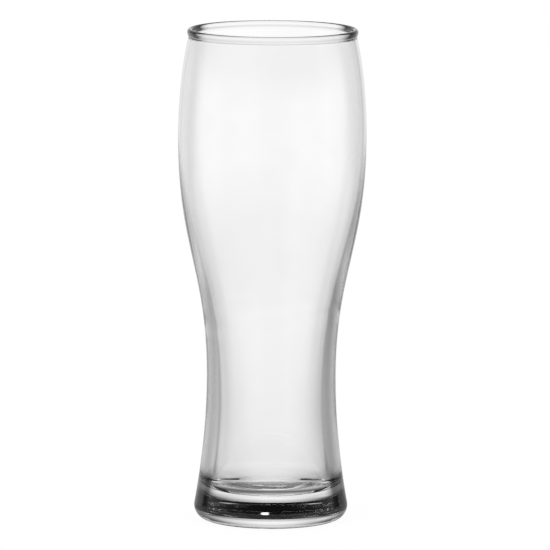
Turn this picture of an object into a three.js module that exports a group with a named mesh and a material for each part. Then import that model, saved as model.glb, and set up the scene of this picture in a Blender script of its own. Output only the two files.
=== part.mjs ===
// A tall waisted beer glass: heavy foot, drawn-in waist, wide belly and a polished rim.
// Millimetres, +Z up, with the origin on the table under the middle of the foot.
import * as THREE from 'three';

// Foot
const FLOOR_THICKNESS = 12.3;
const FLOOR_CROWN = 0.5; // rise of the floor's middle
const FLOOR_CORNER_RADIUS = 6;
const FOOT_COLLAR_RISE = 4.3;
const FOOT_RADIUS = 32.9; // where the leaning side would meet the table
const FOOT_LEAN = 0.174; // inward for each millimetre up
const HEEL_RADIUS = 5.9;
const CONTACT_RING_WIDTH = 3.2;
const PUSH_UP_DEPTH = 0.2;

// Heights above the foot, stacked one on the next
const FOOT_TO_WAIST = 37;
const WAIST_TO_BELLY = 99.1;
const BELLY_TO_LIP = 41.6;
const RIM_RISE = 3.9;
const WAIST_TO_SETTLE_WAVE = 18;

// Outside radii
const WAIST_RADIUS = 26.7;
const BELLY_RADIUS = 38.9;
const LIP_RADIUS = 34.9;

// Wall thickness, measured level
const FOOT_WALL = 6.6;
const WAIST_WALL = 5.5;
const BELLY_WALL = 1.5;
const LIP_WALL = 1.7;

// Rim
const BEAD_HALF_WIDTH = 1.18;
const BEAD_HALF_HEIGHT = 1.35;
const BEAD_OVERHANG = 0.64; // outward from the middle of the leaning wall
const BEAD_NECK_ANGLE = THREE.MathUtils.degToRad(10);
const LIP_LEAN = 0.21; // inward for each millimetre up

// Shape of the outside curves: how far each end holds its own direction, as a part of the rise
const FOOT_HOLD = 0.114;
const WAIST_HOLD_BELOW = 0.47;
const WAIST_HOLD_ABOVE = 0.445;
const BELLY_HOLD_BELOW = 0.453;
const BELLY_HOLD_ABOVE = 0.595;
const LIP_HOLD = 0.036;

// How fast the wall thins above the waist: 1 is steady, more is faster at first
const WALL_THINNING = 1.6;

// Clear soda-lime glass: faintly grey where it is thick
const FOOT_TINT = 0xdfe4e3;
const WAIST_TINT = 0xe6eaea;
const BOWL_TINT = 0xf1f3f3;
const RIM_TINT = 0xeaeeed;
const POLISH_ROUGHNESS = 0.03;
const GLASS_OPACITY = 0.35;

// Facets
const SIDES = 48;
const ARC_STEPS = 5;
const BEAD_STEPS = 10;
const COLLAR_STEPS = 2;
const FOOT_SIDE_STEPS = 5;
const WAIST_STEPS = 12;
const BOWL_STEPS = 20;
const CURVE_TOLERANCE = 1e-9;

// Heights worked out from the stack
const floorCornerTop = FLOOR_THICKNESS + FLOOR_CORNER_RADIUS;
const footTop = floorCornerTop + FOOT_COLLAR_RISE;
const waistHeight = footTop + FOOT_TO_WAIST;
const settleWaveHeight = waistHeight + WAIST_TO_SETTLE_WAVE;
const bellyHeight = waistHeight + WAIST_TO_BELLY;
const lipHeight = bellyHeight + BELLY_TO_LIP;
const rimTop = lipHeight + RIM_RISE;

// The heel is an arc that touches both the table and the leaning side of the foot.
const leanAngle = Math.atan(FOOT_LEAN);
const heelTangent = HEEL_RADIUS / Math.tan((Math.PI / 2 - leanAngle) / 2);
const contactOuterRadius = FOOT_RADIUS - heelTangent;
const contactInnerRadius = contactOuterRadius - CONTACT_RING_WIDTH;
const heelArc = new THREE.EllipseCurve(
  contactOuterRadius, HEEL_RADIUS, HEEL_RADIUS, HEEL_RADIUS, -Math.PI / 2, leanAngle, false,
);
const heelTop = heelArc.getPoint(1);

// The outside above the heel: in to the waist, out to the belly and in again to the lip.
const waist = new THREE.Vector2(WAIST_RADIUS, waistHeight);
const belly = new THREE.Vector2(BELLY_RADIUS, bellyHeight);
const lip = new THREE.Vector2(LIP_RADIUS, lipHeight);
const outsideCurves = [
  outsideCurve(heelTop, FOOT_HOLD, -FOOT_LEAN, waist, WAIST_HOLD_BELOW, 0),
  outsideCurve(waist, WAIST_HOLD_ABOVE, 0, belly, BELLY_HOLD_BELOW, 0),
  outsideCurve(belly, BELLY_HOLD_ABOVE, 0, lip, LIP_HOLD, -LIP_LEAN),
];

// One stretch of the outside, from a lower to an upper point, leaving and arriving with a given lean.
function outsideCurve(lower, lowerHold, lowerLean, upper, upperHold, upperLean) {
  const rise = upper.y - lower.y;
  const lowerPull = rise * lowerHold;
  const upperPull = rise * upperHold;
  return new THREE.CubicBezierCurve(
    lower,
    new THREE.Vector2(lower.x + lowerPull * lowerLean, lower.y + lowerPull),
    new THREE.Vector2(upper.x - upperPull * upperLean, upper.y - upperPull),
    upper,
  );
}

// Outside radius at a height between the heel and the lip, found by halving the curve's range.
function outsideRadius(height) {
  const curve = outsideCurves.find((stretch) => height <= stretch.v3.y) ?? outsideCurves.at(-1);
  let low = 0;
  let high = 1;
  while (high - low > CURVE_TOLERANCE) {
    const middle = (low + high) / 2;
    if (curve.getPoint(middle).y < height) {
      low = middle;
    } else {
      high = middle;
    }
  }
  return curve.getPoint(high).x;
}

// Level thickness of the wall at a height.
function wallThickness(height) {
  if (height <= waistHeight) {
    const up = THREE.MathUtils.clamp((height - footTop) / FOOT_TO_WAIST, 0, 1);
    return THREE.MathUtils.lerp(FOOT_WALL, WAIST_WALL, up);
  }
  if (height <= bellyHeight) {
    const left = (bellyHeight - height) / WAIST_TO_BELLY;
    return THREE.MathUtils.lerp(BELLY_WALL, WAIST_WALL, left ** WALL_THINNING);
  }
  return THREE.MathUtils.lerp(BELLY_WALL, LIP_WALL, (height - bellyHeight) / BELLY_TO_LIP);
}

function outsidePoint(height) {
  return new THREE.Vector2(outsideRadius(height), height);
}

function insidePoint(height) {
  return new THREE.Vector2(outsideRadius(height) - wallThickness(height), height);
}

// Evenly spaced heights from one level to another, both included.
function levels(from, to, steps) {
  return Array.from({ length: steps + 1 }, (_, step) => THREE.MathUtils.lerp(from, to, step / steps));
}

function clearGlass(color) {
  return new THREE.MeshStandardMaterial({
    color,
    roughness: POLISH_ROUGHNESS,
    metalness: 0,
    transparent: true,
    opacity: GLASS_OPACITY,
  });
}

// Turns a profile of (radius, height) points about the upright axis. The profile runs round the glass it
// encloses with the glass on its left.
function turned(name, profile, color) {
  const geometry = new THREE.LatheGeometry(profile, SIDES);
  geometry.rotateX(Math.PI / 2);
  const mesh = new THREE.Mesh(geometry, clearGlass(color));
  mesh.name = name;
  return mesh;
}

// Foot: push-up, contact ring, heel, flared side, collar, rounded floor corner and floor.
function foot() {
  const pushUpSphere = (contactInnerRadius ** 2 + PUSH_UP_DEPTH ** 2) / (2 * PUSH_UP_DEPTH);
  const pushUpEdge = Math.PI / 2 - Math.asin(contactInnerRadius / pushUpSphere);
  const pushUpArc = new THREE.EllipseCurve(
    0, PUSH_UP_DEPTH - pushUpSphere, pushUpSphere, pushUpSphere, Math.PI / 2, pushUpEdge, true,
  );
  const cornerTop = insidePoint(floorCornerTop);
  const cornerArc = new THREE.EllipseCurve(
    cornerTop.x - FLOOR_CORNER_RADIUS, floorCornerTop, FLOOR_CORNER_RADIUS, FLOOR_CORNER_RADIUS,
    0, -Math.PI / 2, true,
  );
  const floorEdge = cornerArc.getPoint(1);
  const floorTop = FLOOR_THICKNESS + FLOOR_CROWN;
  const floorCurve = new THREE.QuadraticBezierCurve(
    floorEdge, new THREE.Vector2(floorEdge.x / 2, floorTop), new THREE.Vector2(0, floorTop),
  );
  const profile = [
    new THREE.Vector2(0, PUSH_UP_DEPTH),
    ...pushUpArc.getPoints(ARC_STEPS).slice(1, -1),
    new THREE.Vector2(contactInnerRadius, 0),
    new THREE.Vector2(contactOuterRadius, 0),
    ...heelArc.getPoints(ARC_STEPS).slice(1),
    ...levels(heelTop.y, footTop, FOOT_SIDE_STEPS).slice(1).map(outsidePoint),
    ...levels(footTop, floorCornerTop, COLLAR_STEPS).map(insidePoint),
    ...cornerArc.getPoints(ARC_STEPS).slice(1),
    ...floorCurve.getPoints(ARC_STEPS).slice(1),
  ];
  return turned('foot', profile, FOOT_TINT);
}

// A band of wall between two levels, flat on its upper and lower edges.
function wallBand(name, bottom, top, steps, color) {
  const profile = [
    ...levels(bottom, top, steps).map(outsidePoint),
    ...levels(top, bottom, steps).map(insidePoint),
    outsidePoint(bottom),
  ];
  return turned(name, profile, color);
}

// Rim: the wall ends in a thick polished bead that stands out a little on both sides.
function rimBead() {
  const lipMiddle = LIP_RADIUS - LIP_WALL / 2;
  const beadHeight = rimTop - BEAD_HALF_HEIGHT;
  const beadMiddle = lipMiddle - LIP_LEAN * (beadHeight - lipHeight) + BEAD_OVERHANG;
  const bead = new THREE.EllipseCurve(
    beadMiddle, beadHeight, BEAD_HALF_WIDTH, BEAD_HALF_HEIGHT,
    -BEAD_NECK_ANGLE, Math.PI + BEAD_NECK_ANGLE, false,
  );
  const profile = [
    outsidePoint(lipHeight),
    ...bead.getPoints(BEAD_STEPS),
    insidePoint(lipHeight),
    outsidePoint(lipHeight),
  ];
  return turned('rim_bead', profile, RIM_TINT);
}

const glass = new THREE.Group();
glass.add(
  foot(),
  wallBand('waist_wall', footTop, settleWaveHeight, WAIST_STEPS, WAIST_TINT),
  wallBand('bowl_wall', settleWaveHeight, lipHeight, BOWL_STEPS, BOWL_TINT),
  rimBead(),
);

export default glass;
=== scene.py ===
"""Dresses a waisted beer glass as one clear, polished piece and stands it in a bright studio."""

import logging
import math
from dataclasses import dataclass, field
from enum import Enum
from itertools import pairwise
from typing import Any, Union

import bmesh
import bpy
from mathutils import Euler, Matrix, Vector, noise


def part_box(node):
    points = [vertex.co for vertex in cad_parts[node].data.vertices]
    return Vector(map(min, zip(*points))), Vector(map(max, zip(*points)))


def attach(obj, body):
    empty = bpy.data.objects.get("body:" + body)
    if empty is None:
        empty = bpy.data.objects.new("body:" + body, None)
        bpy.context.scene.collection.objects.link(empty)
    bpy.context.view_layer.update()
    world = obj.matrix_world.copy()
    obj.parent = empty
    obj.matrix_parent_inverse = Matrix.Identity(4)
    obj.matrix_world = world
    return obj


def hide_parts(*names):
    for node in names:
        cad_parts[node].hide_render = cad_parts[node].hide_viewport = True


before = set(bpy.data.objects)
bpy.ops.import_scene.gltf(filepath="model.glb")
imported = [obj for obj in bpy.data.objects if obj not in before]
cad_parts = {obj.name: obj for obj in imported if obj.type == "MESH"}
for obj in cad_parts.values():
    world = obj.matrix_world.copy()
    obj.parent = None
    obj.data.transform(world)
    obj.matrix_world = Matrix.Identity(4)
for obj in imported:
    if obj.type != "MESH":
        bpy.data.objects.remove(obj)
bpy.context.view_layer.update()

LIGHT_BOUNCES = 14
LOG = logging.getLogger("beer_glass")

Number = Union["Value", float, int]
Span = tuple[float, float]
Colour = tuple[float, float, float, float]


class Zone(Enum):
    """The parts of the glass that its outline walks through, each with the mark that its points keep."""

    UNDERSIDE = 1.0
    OUTSIDE = 2.0
    RIM = 3.0
    BORE = 4.0
    FLOOR = 5.0


class Value:
    """A shader socket that takes part in arithmetic: each operator adds one Math node."""

    def __init__(self, bench: "Bench", socket: bpy.types.NodeSocket) -> None:
        """Wraps a socket of a bench's node tree."""
        self.bench = bench
        self.socket = socket

    def __add__(self, other: Number) -> "Value":
        """Returns self + other."""
        return self.bench.maths("ADD", self, other)

    def __radd__(self, other: Number) -> "Value":
        """Returns other + self."""
        return self.bench.maths("ADD", other, self)

    def __sub__(self, other: Number) -> "Value":
        """Returns self - other."""
        return self.bench.maths("SUBTRACT", self, other)

    def __rsub__(self, other: Number) -> "Value":
        """Returns other - self."""
        return self.bench.maths("SUBTRACT", other, self)

    def __mul__(self, other: Number) -> "Value":
        """Returns self * other."""
        return self.bench.maths("MULTIPLY", self, other)

    def __rmul__(self, other: Number) -> "Value":
        """Returns other * self."""
        return self.bench.maths("MULTIPLY", other, self)


class Bench:
    """A node tree with one method that adds any node to it."""

    def __init__(self, tree: bpy.types.NodeTree) -> None:
        """Empties a node tree and takes it over."""
        self.tree = tree
        tree.nodes.clear()

    def add(self, kind: str, settings: dict[str, Any] | None = None, **sockets: Any) -> bpy.types.Node:
        """Adds one node.

        Args:
            kind: The node's type name.
            settings: Attributes of the node, set before its sockets.
            sockets: Values or links, by the socket's name with spaces as underscores, or by place as in0.

        Returns:
            The new node.
        """
        node = self.tree.nodes.new(kind)
        for name, setting in (settings or {}).items():
            setattr(node, name, setting)
        for name, given in sockets.items():
            self.feed(self.find(node, name), given)
        return node

    def find(self, node: bpy.types.Node, name: str) -> bpy.types.NodeSocket:
        """Finds an input of a node.

        Args:
            node: The node.
            name: The input's name with underscores, or its place as in0.

        Returns:
            The input.
        """
        if name.startswith("in") and name[2:].isdigit():
            return node.inputs[int(name[2:])]
        return node.inputs[name.replace("_", " ")]

    def feed(self, socket: bpy.types.NodeSocket, given: Any) -> None:
        """Sets an input to a plain value, or links it.

        Args:
            socket: The input.
            given: A plain value, an output or a Value.
        """
        if isinstance(given, Value):
            given = given.socket
        if isinstance(given, bpy.types.NodeSocket):
            self.tree.links.new(given, socket)
        else:
            socket.default_value = given

    def maths(self, operation: str, *terms: Number) -> Value:
        """Adds one Math node.

        Args:
            operation: The node's operation.
            terms: Its inputs, in order.

        Returns:
            The result.
        """
        sockets = {f"in{place}": term for place, term in enumerate(terms)}
        node = self.add("ShaderNodeMath", {"operation": operation}, **sockets)
        return Value(self, node.outputs[0])

    def split(self, vector: bpy.types.NodeSocket) -> list[Value]:
        """Returns the three parts of a vector."""
        return [Value(self, part) for part in self.add("ShaderNodeSeparateXYZ", Vector=vector).outputs]

    def smooth(
        self, value: Number, start: float, stop: float, low: Number = 0.0, high: Number = 1.0,
    ) -> Value:
        """Fades softly from one level to another.

        Args:
            value: What the fade follows.
            start: The value at which the fade starts.
            stop: The value at which it ends.
            low: The level before it.
            high: The level after it.

        Returns:
            The level.
        """
        ends = {"From_Min": start, "From_Max": stop, "To_Min": low, "To_Max": high}
        node = self.add("ShaderNodeMapRange", {"interpolation_type": "SMOOTHSTEP"}, Value=value, **ends)
        return Value(self, node.outputs["Result"])


@dataclass(frozen=True)
class Hold:
    """How far a curve keeps its direction at its two ends, as shares of the height it covers."""

    start: float
    end: float


@dataclass
class Outline:
    """Half of the glass cut through its axis, as a walk of (radius, height) points with their zones."""

    spacing: float = 0.0014
    floor_spacing: float = 0.0006
    fewest: int = 12
    arc_spacing: float = math.radians(6.0)
    points: list[Vector] = field(default_factory=list)
    zones: list[Zone] = field(default_factory=list)

    def step(self, zone: Zone, radius: float, height: float) -> None:
        """Adds one point."""
        self.points.append(Vector((radius, height)))
        self.zones.append(zone)

    def arc(self, zone: Zone, centre: Vector, half: Vector, angles: Span) -> None:
        """Walks round part of an ellipse, without its first point.

        Args:
            zone: The zone of the new points.
            centre: The ellipse's centre.
            half: Its half width and half height.
            angles: Where it starts and stops, in radians from the outward direction.
        """
        start, stop = angles
        steps = math.ceil(abs(stop - start) / self.arc_spacing)
        for count in range(1, steps + 1):
            angle = start + (stop - start) * count / steps
            self.step(zone, centre.x + half.x * math.cos(angle), centre.y + half.y * math.sin(angle))

    def sweep(self, zone: Zone, leave: Vector, end: Vector, arrive: Vector) -> None:
        """Walks along a smooth curve.

        Args:
            zone: The zone of the new points.
            leave: How the curve sets out, as a step from the last point.
            end: Where it ends.
            arrive: How it comes in, as the step that leads to the end.
        """
        start = self.points[-1].copy()
        first, second = start + leave, end - arrive
        spacing = self.floor_spacing if zone is Zone.FLOOR else self.spacing
        steps = max(self.fewest, math.ceil((end - start).length / spacing))
        for count in range(1, steps + 1):
            t = count / steps
            s = 1.0 - t
            point = s**3 * start + 3 * s * s * t * first + 3 * s * t * t * second + t**3 * end
            self.step(zone, *point)

    def bend(self, zone: Zone, leave: Vector, end: Vector, arrive: Vector, hold: Hold) -> None:
        """Walks up or down along a smooth curve.

        Args:
            zone: The zone of the new points.
            leave: The direction in which it sets out, for one unit of height.
            end: Where it ends.
            arrive: The direction in which it comes in, for one unit of height.
            hold: How far it keeps these directions.
        """
        height = abs(end.y - self.points[-1].y)
        self.sweep(zone, leave * height * hold.start, end, arrive * height * hold.end)


@dataclass(frozen=True)
class ClearGlass:
    """Clear soda-lime glass, fire-polished, with faint wiping marks and painted shade on its edges at a flat
    angle.

    The painted shade takes the base colour towards near-black where the outside, foot and rim are met at a
    flat angle. It stands in for the dark surroundings that the glass bends and mirrors there. A graze pair
    holds the
    Layer Weight values between which this painted shade comes in. A rise or fade pair holds the heights, in
    metres, between which that part's painted shade comes or goes.
    """

    name: str = "clear_glass"
    refraction: float = 1.52
    clean: Colour = (0.994, 0.994, 0.994, 1.0)
    marked: Colour = (0.978, 0.979, 0.979, 1.0)
    mark_size: float = 90.0
    mark_detail: float = 4.0
    mark_roughness: float = 0.6
    mark_fade: Span = (0.5, 0.75)
    polish: float = 0.0
    smear: float = 0.012
    # Painted shade: the near-black that the edges are darkened to at a flat angle. The values below set where
    # it comes in.
    painted_edge_shade: Colour = (0.003, 0.003, 0.003, 1.0)
    graze_blend: float = 0.5
    wall_graze: Span = (0.80, 0.97)
    thick_graze: Span = (0.39, 0.58)
    thick_fade: Span = (0.092, 0.112)
    thick_share: float = 0.58
    foot_graze: Span = (0.28, 0.46)
    foot_rise: Span = (0.005, 0.009)
    foot_fade: Span = (0.018, 0.028)
    foot_share: float = 0.96
    rim_graze: Span = (0.38, 0.58)
    rim_rise: Span = (0.2010, 0.2018)
    body_tint: Colour = (0.88, 0.89, 0.885, 1.0)
    body_density: float = 3.0

    def make(self) -> bpy.types.Material:
        """Makes the material.

        Returns:
            The material, on Object coordinates.
        """
        material = bpy.data.materials.new(self.name)
        material.use_nodes = True
        bench = Bench(material.node_tree)
        mix = {"data_type": "RGBA"}
        place = bench.add("ShaderNodeTexCoord").outputs["Object"]
        marks = bench.add(
            "ShaderNodeTexNoise",
            Vector=place,
            Scale=self.mark_size,
            Detail=self.mark_detail,
            Roughness=self.mark_roughness,
        )
        worn = bench.smooth(Value(bench, marks.outputs["Fac"]), *self.mark_fade)
        # Painted shade: the share of near-black mixed into the base colour at flat angles.
        dark = self.shade(bench, place)
        wiped = bench.add("ShaderNodeMix", mix, in0=worn, in6=self.clean, in7=self.marked)
        colour = bench.add("ShaderNodeMix", mix, in0=dark, in6=wiped.outputs[2], in7=self.painted_edge_shade)
        shader = bench.add(
            "ShaderNodeBsdfPrincipled",
            Base_Color=colour.outputs[2],
            Roughness=self.polish + worn * self.smear,
            IOR=self.refraction,
            Transmission_Weight=1.0,
        )
        body = bench.add("ShaderNodeVolumeAbsorption", Color=self.body_tint, Density=self.body_density)
        bench.add("ShaderNodeOutputMaterial", Surface=shader.outputs[0], Volume=body.outputs[0])
        return material

    def shade(self, bench: Bench, place: bpy.types.NodeSocket) -> Value:
        """Finds the painted shade of the outside, the foot and the rim where they are met at a flat angle.

        Args:
            bench: The material's node tree.
            place: The place on the glass.

        Returns:
            The share of the painted edge shade in the base colour.
        """
        geometry = bench.add("ShaderNodeNewGeometry").outputs
        x, y, height = bench.split(place)
        normal_x, normal_y, _ = bench.split(geometry["Normal"])
        entering = 1.0 - Value(bench, geometry["Backfacing"])
        outside = bench.maths("GREATER_THAN", x * normal_x + y * normal_y, 0.0)
        weight = bench.add("ShaderNodeLayerWeight", Blend=self.graze_blend)
        graze = Value(bench, weight.outputs["Facing"])
        thick = bench.smooth(height, *self.thick_fade, self.thick_share, 0.0)
        foot = bench.smooth(height, *self.foot_fade, self.foot_share, 0.0)
        foot = foot * bench.smooth(height, *self.foot_rise)
        rim = bench.smooth(height, *self.rim_rise)
        # Painted shade on the lower wall, on the foot above the heel and on the rim bead, where they are met
        # at a flat angle.
        thick_painted_shade = thick * bench.smooth(graze, *self.thick_graze)
        foot_painted_shade = foot * bench.smooth(graze, *self.foot_graze)
        rim_painted_shade = bench.smooth(graze, *self.rim_graze)
        low_painted_shade = bench.maths("MAXIMUM", thick_painted_shade, foot_painted_shade)
        wall_painted_shade = bench.maths("MAXIMUM", bench.smooth(graze, *self.wall_graze), low_painted_shade)
        return entering * (rim * rim_painted_shade + (1.0 - rim) * outside * wall_painted_shade)


@dataclass
class BeerGlass:
    """The whole glass: one closed skin from the underside round the rim to the floor inside. Metres."""

    belly_radius: float
    lip_height: float
    rim_top: float
    foot_reach: float = 0.0329
    foot_lean: float = 0.174
    heel_radius: float = 0.0059
    ring_width: float = 0.0032
    push_up: float = 0.0002
    waist_radius: float = 0.0267
    waist_height: float = 0.0596
    belly_height: float = 0.1587
    lip_radius: float = 0.0349
    lip_lean: float = 0.21
    lip_wall: float = 0.0017
    bead_middle: float = 0.03415
    bead_half_width: float = 0.00118
    bead_half_height: float = 0.00135
    bead_neck: float = math.radians(8.0)
    bead_inner_neck: float = math.radians(14.0)
    neck_hold: float = 0.00085
    inner_neck_hold: float = 0.0010
    belly_wall: float = 0.0015
    bore_belly_height: float = 0.1600
    bore_waist_radius: float = 0.0210
    bore_waist_height: float = 0.0490
    bore_foot_radius: float = 0.0235
    bore_foot_lean: float = 0.14
    floor_height: float = 0.0123
    floor_crown: float = 0.0005
    floor_corner: float = 0.0060
    foot_hold: Hold = Hold(0.114, 0.47)
    waist_hold: Hold = Hold(0.445, 0.453)
    belly_hold: Hold = Hold(0.595, 0.036)
    bore_lip_hold: Hold = Hold(0.036, 0.595)
    bore_belly_hold: Hold = Hold(0.405, 0.504)
    bore_waist_hold: Hold = Hold(0.42, 0.26)
    sides: int = 224
    weld: float = 1e-7
    ripple_length: float = 0.0042
    ripple_spread: float = 1.6
    ripple_rise: float = 0.00030
    ripple_fade: Span = (0.0170, 0.0205)
    ridge_radius: float = 0.0212
    ridge_width: float = 0.0009
    ridge_rise: float = 0.00022
    settle_height: float = 0.0845
    settle_tilt: float = 0.0030
    settle_reach: float = 0.0055
    settle_depth: float = 0.00010
    settle_mean: float = 0.6
    settle_uneven: float = 0.8
    settle_waves: float = 2.2

    @classmethod
    def from_frame(cls) -> "BeerGlass":
        """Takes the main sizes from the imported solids.

        Returns:
            The glass.
        """
        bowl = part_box("bowl_wall")[1]
        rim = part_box("rim_bead")[1]
        return cls(belly_radius=bowl.x, lip_height=bowl.z, rim_top=rim.z)

    def outline(self) -> Outline:
        """Walks round the cut glass.

        Returns:
            The outline, from the middle of the underside to the middle of the floor inside.
        """
        walk = Outline()
        self.walk_underside(walk)
        self.walk_outside(walk)
        self.walk_rim(walk)
        self.walk_inside(walk)
        return walk

    def walk_underside(self, walk: Outline) -> None:
        """Walks from the middle of the push-up over the contact ring and round the heel.

        Args:
            walk: The outline so far.
        """
        lean = math.atan(self.foot_lean)
        ring_outer = self.foot_reach - self.heel_radius / math.tan((math.pi / 2 - lean) / 2)
        ring_inner = ring_outer - self.ring_width
        level = Vector((ring_inner / 3, 0.0))
        walk.step(Zone.UNDERSIDE, 0.0, self.push_up)
        walk.sweep(Zone.UNDERSIDE, level, Vector((ring_inner, 0.0)), level)
        walk.step(Zone.UNDERSIDE, ring_outer, 0.0)
        heel = Vector((self.heel_radius, self.heel_radius))
        walk.arc(Zone.OUTSIDE, Vector((ring_outer, heel.y)), heel, (-math.pi / 2, lean))

    def walk_outside(self, walk: Outline) -> None:
        """Walks up the flared foot, in to the waist, out to the belly and in again to the lip.

        Args:
            walk: The outline so far.
        """
        up = Vector((0.0, 1.0))
        waist = Vector((self.waist_radius, self.waist_height))
        belly = Vector((self.belly_radius, self.belly_height))
        lip = Vector((self.lip_radius, self.lip_height))
        walk.bend(Zone.OUTSIDE, Vector((-self.foot_lean, 1.0)), waist, up, self.foot_hold)
        walk.bend(Zone.OUTSIDE, up, belly, up, self.waist_hold)
        walk.bend(Zone.OUTSIDE, up, lip, Vector((-self.lip_lean, 1.0)), self.belly_hold)

    def walk_rim(self, walk: Outline) -> None:
        """Walks up the neck, over the polished bead and down to the wall inside.

        Args:
            walk: The outline so far.
        """
        half = Vector((self.bead_half_width, self.bead_half_height))
        bead = Vector((self.bead_middle, self.rim_top - half.y))
        start, stop = -self.bead_neck, math.pi + self.bead_inner_neck
        entry = bead + half * Vector((math.cos(start), math.sin(start)))
        entry_way = (half * Vector((-math.sin(start), math.cos(start)))).normalized()
        exit_way = (half * Vector((-math.sin(stop), math.cos(stop)))).normalized()
        lip_way = Vector((-self.lip_lean, 1.0)).normalized()
        inner_lip = Vector((self.lip_radius - self.lip_wall, self.lip_height))
        walk.sweep(Zone.RIM, lip_way * self.neck_hold, entry, entry_way * self.neck_hold)
        walk.arc(Zone.RIM, bead, half, (start, stop))
        walk.sweep(Zone.RIM, exit_way * self.inner_neck_hold, inner_lip, -lip_way * self.inner_neck_hold)

    def walk_inside(self, walk: Outline) -> None:
        """Walks down the bore and over the rounded corner to the middle of the floor.

        Args:
            walk: The outline so far.
        """
        down = Vector((0.0, -1.0))
        belly = Vector((self.belly_radius - self.belly_wall, self.bore_belly_height))
        waist = Vector((self.bore_waist_radius, self.bore_waist_height))
        corner_top = Vector((self.bore_foot_radius, self.floor_height + self.floor_corner))
        walk.bend(Zone.BORE, Vector((self.lip_lean, -1.0)), belly, down, self.bore_lip_hold)
        walk.bend(Zone.BORE, down, waist, down, self.bore_belly_hold)
        walk.bend(Zone.BORE, down, corner_top, Vector((self.bore_foot_lean, -1.0)), self.bore_waist_hold)
        corner = Vector((self.floor_corner, self.floor_corner))
        centre = corner_top - Vector((corner.x, 0.0))
        walk.arc(Zone.FLOOR, centre, corner, (0.0, -math.pi / 2))
        level = Vector((-centre.x / 3, 0.0))
        walk.sweep(Zone.FLOOR, level, Vector((0.0, self.floor_height + self.floor_crown)), level)

    def build(self) -> bpy.types.Object:
        """Turns the outline about the axis.

        Returns:
            The glass, at the origin.
        """
        skin = bmesh.new()
        walk = self.outline()
        zone_mark = skin.verts.layers.float.new("zone_mark")
        chain = [skin.verts.new((point.x, 0.0, point.y)) for point in walk.points]
        for vertex, zone in zip(chain, walk.zones):
            vertex[zone_mark] = zone.value
        edges = [skin.edges.new(pair) for pair in pairwise(chain)]
        bmesh.ops.spin(
            skin, geom=chain + edges, axis=(0, 0, 1), cent=(0, 0, 0), dvec=(0, 0, 0),
            angle=math.tau, steps=self.sides, use_merge=True,
        )
        bmesh.ops.remove_doubles(skin, verts=skin.verts, dist=self.weld)
        for vertex in skin.verts:
            mark = vertex[zone_mark]
            if mark == Zone.FLOOR.value:
                self.ripple(vertex.co)
            elif mark == Zone.BORE.value:
                self.settle(vertex.co)
        bmesh.ops.recalc_face_normals(skin, faces=skin.faces)
        for face in skin.faces:
            face.smooth = True
        mesh = bpy.data.meshes.new("glass")
        skin.to_mesh(mesh)
        skin.free()
        glass = bpy.data.objects.new("glass", mesh)
        bpy.context.collection.objects.link(glass)
        return glass

    def ripple(self, place: Vector) -> None:
        """Lifts or sinks a place of the floor by the ripples left when the glass was pressed.

        Args:
            place: The place, which is moved.
        """
        reach = math.hypot(place.x, place.y)
        start, stop = self.ripple_fade
        share = min(max((stop - reach) / (stop - start), 0.0), 1.0) * min(reach / start, 1.0)
        around = Vector((place.x, place.y)).normalized() * self.ripple_spread
        uneven = noise.noise(Vector((*around, reach / self.ripple_length)))
        off = (reach - self.ridge_radius) / self.ridge_width
        ridge = self.ridge_rise * (1.0 + uneven) * math.exp(-off * off)
        place.z += self.ripple_rise * share * share * (3.0 - 2.0 * share) * uneven + ridge

    def settle(self, place: Vector) -> None:
        """Moves a place of the bore in or out by the settle wave, a faint uneven ring in the wall.

        Args:
            place: The place, which is moved.
        """
        angle = math.atan2(place.y, place.x)
        middle = self.settle_height + self.settle_tilt * math.cos(angle)
        off = (place.z - middle) / self.settle_reach
        around = Vector((math.cos(angle), math.sin(angle), place.z / self.settle_reach))
        uneven = self.settle_mean + self.settle_uneven * noise.noise(around)
        push = self.settle_depth * uneven * math.exp(-off * off) * math.cos(self.settle_waves * off)
        reach = math.hypot(place.x, place.y)
        place.x *= 1.0 - push / reach
        place.y *= 1.0 - push / reach

    def dress(self, glass: bpy.types.Object, finish: ClearGlass) -> None:
        """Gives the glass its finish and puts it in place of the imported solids.

        Args:
            glass: The built glass.
            finish: Its finish.
        """
        glass.data.materials.append(finish.make())
        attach(glass, "root")
        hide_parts("foot", "waist_wall", "bowl_wall", "rim_bead")


@dataclass(frozen=True)
class Glow:
    """A soft-edged part of the surroundings, up from the horizon and painted as light on the table. Degrees
    and metres.

    It adds its level to the light, and a negative level makes a dim part. It fades from full to nothing as
    the direction turns away from the azimuth over the pair across, and as it rises over the pair high. On the
    table it is painted light in the floor's emission, and it goes from the near share to full over the reach,
    the distance from the middle of the foot.
    """

    azimuth: float
    across: Span
    high: Span
    level: float
    reach: Span = (0.0, 0.77)
    near: float = 1.0


@dataclass(frozen=True)
class Strip:
    """A soft-edged lamp that hangs above the horizon. Degrees.

    It fades out as the direction turns away from the azimuth over the pair across. As the direction rises, it
    comes in over the pair low and goes out over the pair high.
    """

    azimuth: float
    across: Span
    low: Span
    high: Span
    level: float


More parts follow.
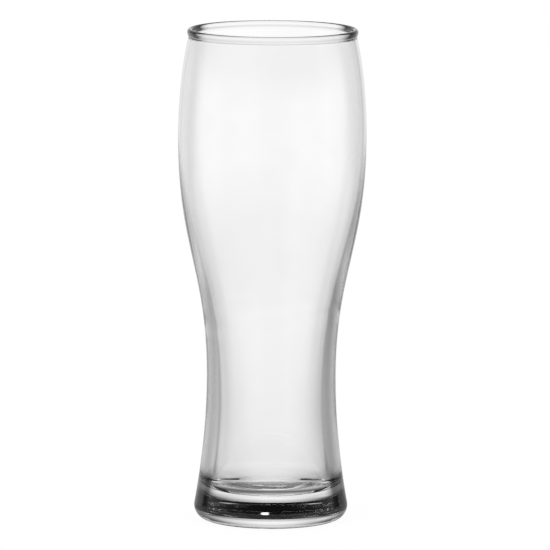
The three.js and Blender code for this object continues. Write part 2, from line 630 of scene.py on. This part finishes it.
@dataclass
class Studio:
    """White floor, soft lamp and the surroundings that the glass mirrors and bends.

    Under the glass the table has a painted pool of light at its core and a painted shadow ring round it, open
    on the side at azimuth 0.
    """

    floor_radius: float = 8.0
    floor_sides: int = 96
    floor_drop: float = 0.0002
    floor_white: float = 0.95
    floor_share: float = 0.04
    ambient: float = 1.1
    lamp_watts: float = 4.0
    lamp_size: float = 0.8
    lamp_place: tuple[float, float, float] = (-0.5, -0.7, 1.6)
    table: float = 0.33
    table_fade: Span = (0.0, 13.0)
    dark: float = 0.001
    # Painted light and shadow on the table under the glass: a bright core for light through the glass floor,
    # and a dim ring for the heel's shadow.
    painted_core_light_fade: Span = (0.009, 0.016)
    painted_core_light: float = 0.38
    shade_start: Span = (0.013, 0.019)
    shade_stop: Span = (0.022, 0.034)
    shade_turn: Span = (35.0, 85.0)
    shade: float = 0.75
    # Glows light the surroundings. On the table they are painted pools of light and dim patches.
    glows: tuple[Glow, ...] = (
        Glow(azimuth=0.5, across=(1.0, 50.0), high=(28.0, 36.0), level=0.68, near=0.84),
        Glow(azimuth=180.0, across=(0.0, 150.0), high=(0.0, 14.0), level=0.26),
        Glow(azimuth=90.0, across=(10.0, 34.0), high=(0.0, 9.0), level=0.38, reach=(0.1, 0.5), near=0.0),
        Glow(azimuth=-90.0, across=(10.0, 34.0), high=(0.0, 9.0), level=0.32, reach=(0.1, 0.5), near=0.0),
        Glow(azimuth=-135.0, across=(10.0, 40.0), high=(0.0, 9.0), level=0.36, reach=(0.03, 0.22), near=0.2),
        Glow(azimuth=42.0, across=(6.0, 20.0), high=(0.0, 12.0), level=0.27, reach=(0.1, 0.5), near=0.45),
        Glow(azimuth=61.0, across=(3.0, 15.0), high=(0.0, 12.0), level=-0.28, reach=(0.3, 0.9), near=0.0),
        Glow(azimuth=-61.0, across=(3.0, 15.0), high=(0.0, 12.0), level=-0.28, reach=(0.3, 0.9), near=0.0),
    )
    strips: tuple[Strip, ...] = (
        Strip(azimuth=-4.0, across=(1.5, 3.5), low=(33.0, 36.0), high=(46.0, 48.0), level=1.6),
        Strip(azimuth=-57.0, across=(7.0, 12.0), low=(12.0, 15.0), high=(46.0, 52.0), level=0.9),
        Strip(azimuth=57.0, across=(7.0, 12.0), low=(12.0, 15.0), high=(46.0, 52.0), level=0.9),
    )

    def turn(self, bench: Bench, x: Value, y: Value, azimuth: float) -> Value:
        """Measures how far a level direction is turned from an azimuth.

        Args:
            bench: The node tree to add to.
            x: The direction's first part.
            y: Its second part.
            azimuth: The azimuth, in degrees.

        Returns:
            The turn, in degrees.
        """
        angle = math.radians(azimuth)
        flat = bench.maths("SQRT", x * x + y * y)
        cosine = bench.maths("DIVIDE", y * math.cos(angle) - x * math.sin(angle), flat)
        return bench.maths("ARCCOSINE", cosine) * math.degrees(1.0)

    def rays(self, bench: Bench) -> tuple[Value, Value]:
        """Tells the rays apart.

        Args:
            bench: The node tree to add to.

        Returns:
            Whether a ray comes from the camera, and whether it was mirrored or bent, as 0 or 1.
        """
        path = bench.add("ShaderNodeLightPath").outputs
        glossy = Value(bench, path["Is Glossy Ray"])
        through = Value(bench, path["Is Transmission Ray"])
        return Value(bench, path["Is Camera Ray"]), bench.maths("MAXIMUM", glossy, through)

    def table_light(self, bench: Bench) -> Value:
        """Works out the painted light of the table at a spot of the floor, with its pools of light, dim
        patches and shadow ring.

        Args:
            bench: The floor's node tree.

        Returns:
            The light.
        """
        x, y, _ = bench.split(bench.add("ShaderNodeTexCoord").outputs["Object"])
        reach = bench.maths("SQRT", x * x + y * y)
        # Painted light: a pool of light under the middle of the foot, and the glows as pools of light and dim
        # patches.
        lit = bench.smooth(reach, *self.painted_core_light_fade, self.painted_core_light, 0.0) + self.table
        for glow in self.glows:
            across = bench.smooth(self.turn(bench, x, y, glow.azimuth), *glow.across, 1.0, 0.0)
            lit = lit + across * bench.smooth(reach, *glow.reach, glow.near, 1.0) * glow.level
        # Painted shadow: a dim ring round the heel, open towards azimuth 0.
        painted_shadow_ring = bench.smooth(reach, *self.shade_start) * bench.smooth(reach, *self.shade_stop, 1.0, 0.0)
        around = bench.smooth(self.turn(bench, x, y, 0.0), *self.shade_turn)
        return lit * (1.0 - painted_shadow_ring * around * self.shade)

    def sky_light(self, bench: Bench) -> Value:
        """Works out the light of the studio in a direction.

        Args:
            bench: The world's node tree.

        Returns:
            The light.
        """
        x, y, z = bench.split(bench.add("ShaderNodeTexCoord").outputs["Generated"])
        elevation = bench.maths("ARCSINE", z) * math.degrees(1.0)
        lit = bench.smooth(elevation, *self.table_fade, self.table, self.dark)
        for glow in self.glows:
            across = bench.smooth(self.turn(bench, x, y, glow.azimuth), *glow.across, 1.0, 0.0)
            lit = lit + across * bench.smooth(elevation, *glow.high, 1.0, 0.0) * glow.level
        for strip in self.strips:
            across = bench.smooth(self.turn(bench, x, y, strip.azimuth), *strip.across, 1.0, 0.0)
            upright = bench.smooth(elevation, *strip.low) * bench.smooth(elevation, *strip.high, 1.0, 0.0)
            lit = lit + across * upright * strip.level
        return lit

    def build_floor(self) -> bpy.types.Object:
        """Makes the floor.

        Returns:
            The floor, a disc just under the glass.
        """
        disc = bmesh.new()
        bmesh.ops.create_circle(disc, cap_ends=True, segments=self.floor_sides, radius=self.floor_radius)
        bmesh.ops.translate(disc, verts=disc.verts, vec=(0.0, 0.0, -self.floor_drop))
        mesh = bpy.data.meshes.new("floor")
        disc.to_mesh(mesh)
        disc.free()
        mesh.materials.append(self.floor_paint())
        floor = bpy.data.objects.new("floor", mesh)
        bpy.context.collection.objects.link(floor)
        return floor

    def floor_paint(self) -> bpy.types.Material:
        """Makes the floor's material.

        Returns:
            The material: white with a faint shadow to the camera, and a table with painted light and painted
                shadow to the glass.
        """
        material = bpy.data.materials.new("floor_white")
        material.use_nodes = True
        bench = Bench(material.node_tree)
        white = (self.floor_white, self.floor_white, self.floor_white, 1.0)
        paint = bench.add("ShaderNodeBsdfDiffuse", Color=white)
        glow = bench.add("ShaderNodeEmission", Color=(1.0, 1.0, 1.0, 1.0), Strength=1.0)
        # Painted light: the table's emission, seen only by rays that the glass mirrors or bends.
        table = bench.add("ShaderNodeEmission", Color=self.table_light(bench), Strength=1.0)
        camera, mirrored = self.rays(bench)
        share = camera * (1.0 - self.floor_share)
        plain = bench.add("ShaderNodeMixShader", in0=share, in1=paint.outputs[0], in2=glow.outputs[0])
        mixed = bench.add("ShaderNodeMixShader", in0=mirrored, in1=plain.outputs[0], in2=table.outputs[0])
        bench.add("ShaderNodeOutputMaterial", Surface=mixed.outputs[0])
        return material

    def build_lamp(self) -> bpy.types.Object:
        """Makes the soft lamp above the glass.

        Returns:
            The lamp, turned to the foot.
        """
        data = bpy.data.lights.new("softbox", "AREA")
        data.energy = self.lamp_watts
        data.size = self.lamp_size
        lamp = bpy.data.objects.new("softbox", data)
        bpy.context.collection.objects.link(lamp)
        lamp.location = self.lamp_place
        lamp.rotation_euler = Vector(self.lamp_place).to_track_quat("Z", "Y").to_euler()
        lamp.visible_glossy = False
        lamp.visible_transmission = False
        return lamp

    def build_world(self) -> None:
        """Makes the surroundings: plain white to the camera, and a lit studio to the glass."""
        world = bpy.data.worlds.new("studio")
        bpy.context.scene.world = world
        world.use_nodes = True
        bench = Bench(world.node_tree)
        seen = self.sky_light(bench)
        camera, mirrored = self.rays(bench)
        light = camera + (1.0 - camera) * (mirrored * seen + (1.0 - mirrored) * self.ambient)
        ground = bench.add("ShaderNodeBackground", Color=light, Strength=1.0)
        bench.add("ShaderNodeOutputWorld", Surface=ground.outputs[0])


@dataclass(frozen=True)
class PhotoCamera:
    """The camera at the photograph's viewing angle, for a square picture. Metres, degrees and pixels."""

    picture: float = 550.0
    focal_pixels: float = 7007.2
    distance: float = 2.8698
    height: float = 0.4995
    pitch: float = 7.889
    roll: float = 0.256
    left_shift: float = 3.3
    sensor: float = 36.0

    def build(self) -> bpy.types.Object:
        """Makes the camera and gives it to the scene.

        Returns:
            The camera.
        """
        data = bpy.data.cameras.new("photo_camera")
        data.sensor_width = self.sensor
        data.lens = self.sensor * self.focal_pixels / self.picture
        data.shift_x = self.left_shift / self.picture
        camera = bpy.data.objects.new("photo_camera", data)
        camera.location = (0.0, -self.distance, self.height)
        turn = Euler((math.radians(90.0 - self.pitch), 0.0, 0.0)).to_matrix()
        roll = Euler((0.0, 0.0, math.radians(self.roll))).to_matrix()
        camera.rotation_euler = (turn @ roll).to_euler()
        bpy.context.collection.objects.link(camera)
        bpy.context.scene.camera = camera
        return camera


def set_picture() -> None:
    """Sets how colours are shown and how far light is followed through the glass."""
    scene = bpy.context.scene
    scene.view_settings.view_transform = "Standard"
    scene.cycles.max_bounces = LIGHT_BOUNCES
    scene.cycles.transmission_bounces = LIGHT_BOUNCES
    scene.cycles.glossy_bounces = LIGHT_BOUNCES
    scene.cycles.transparent_max_bounces = LIGHT_BOUNCES


def main() -> None:
    """Builds the camera, the glass and the studio in order."""
    logging.basicConfig(level=logging.INFO, format="%(message)s")
    set_picture()
    PhotoCamera().build()
    maker = BeerGlass.from_frame()
    glass = maker.build()
    maker.dress(glass, ClearGlass())
    LOG.info("%s: %d faces", glass.name, len(glass.data.polygons))
    studio = Studio()
    studio.build_floor()
    studio.build_lamp()
    studio.build_world()


if __name__ == "__main__":
    main()
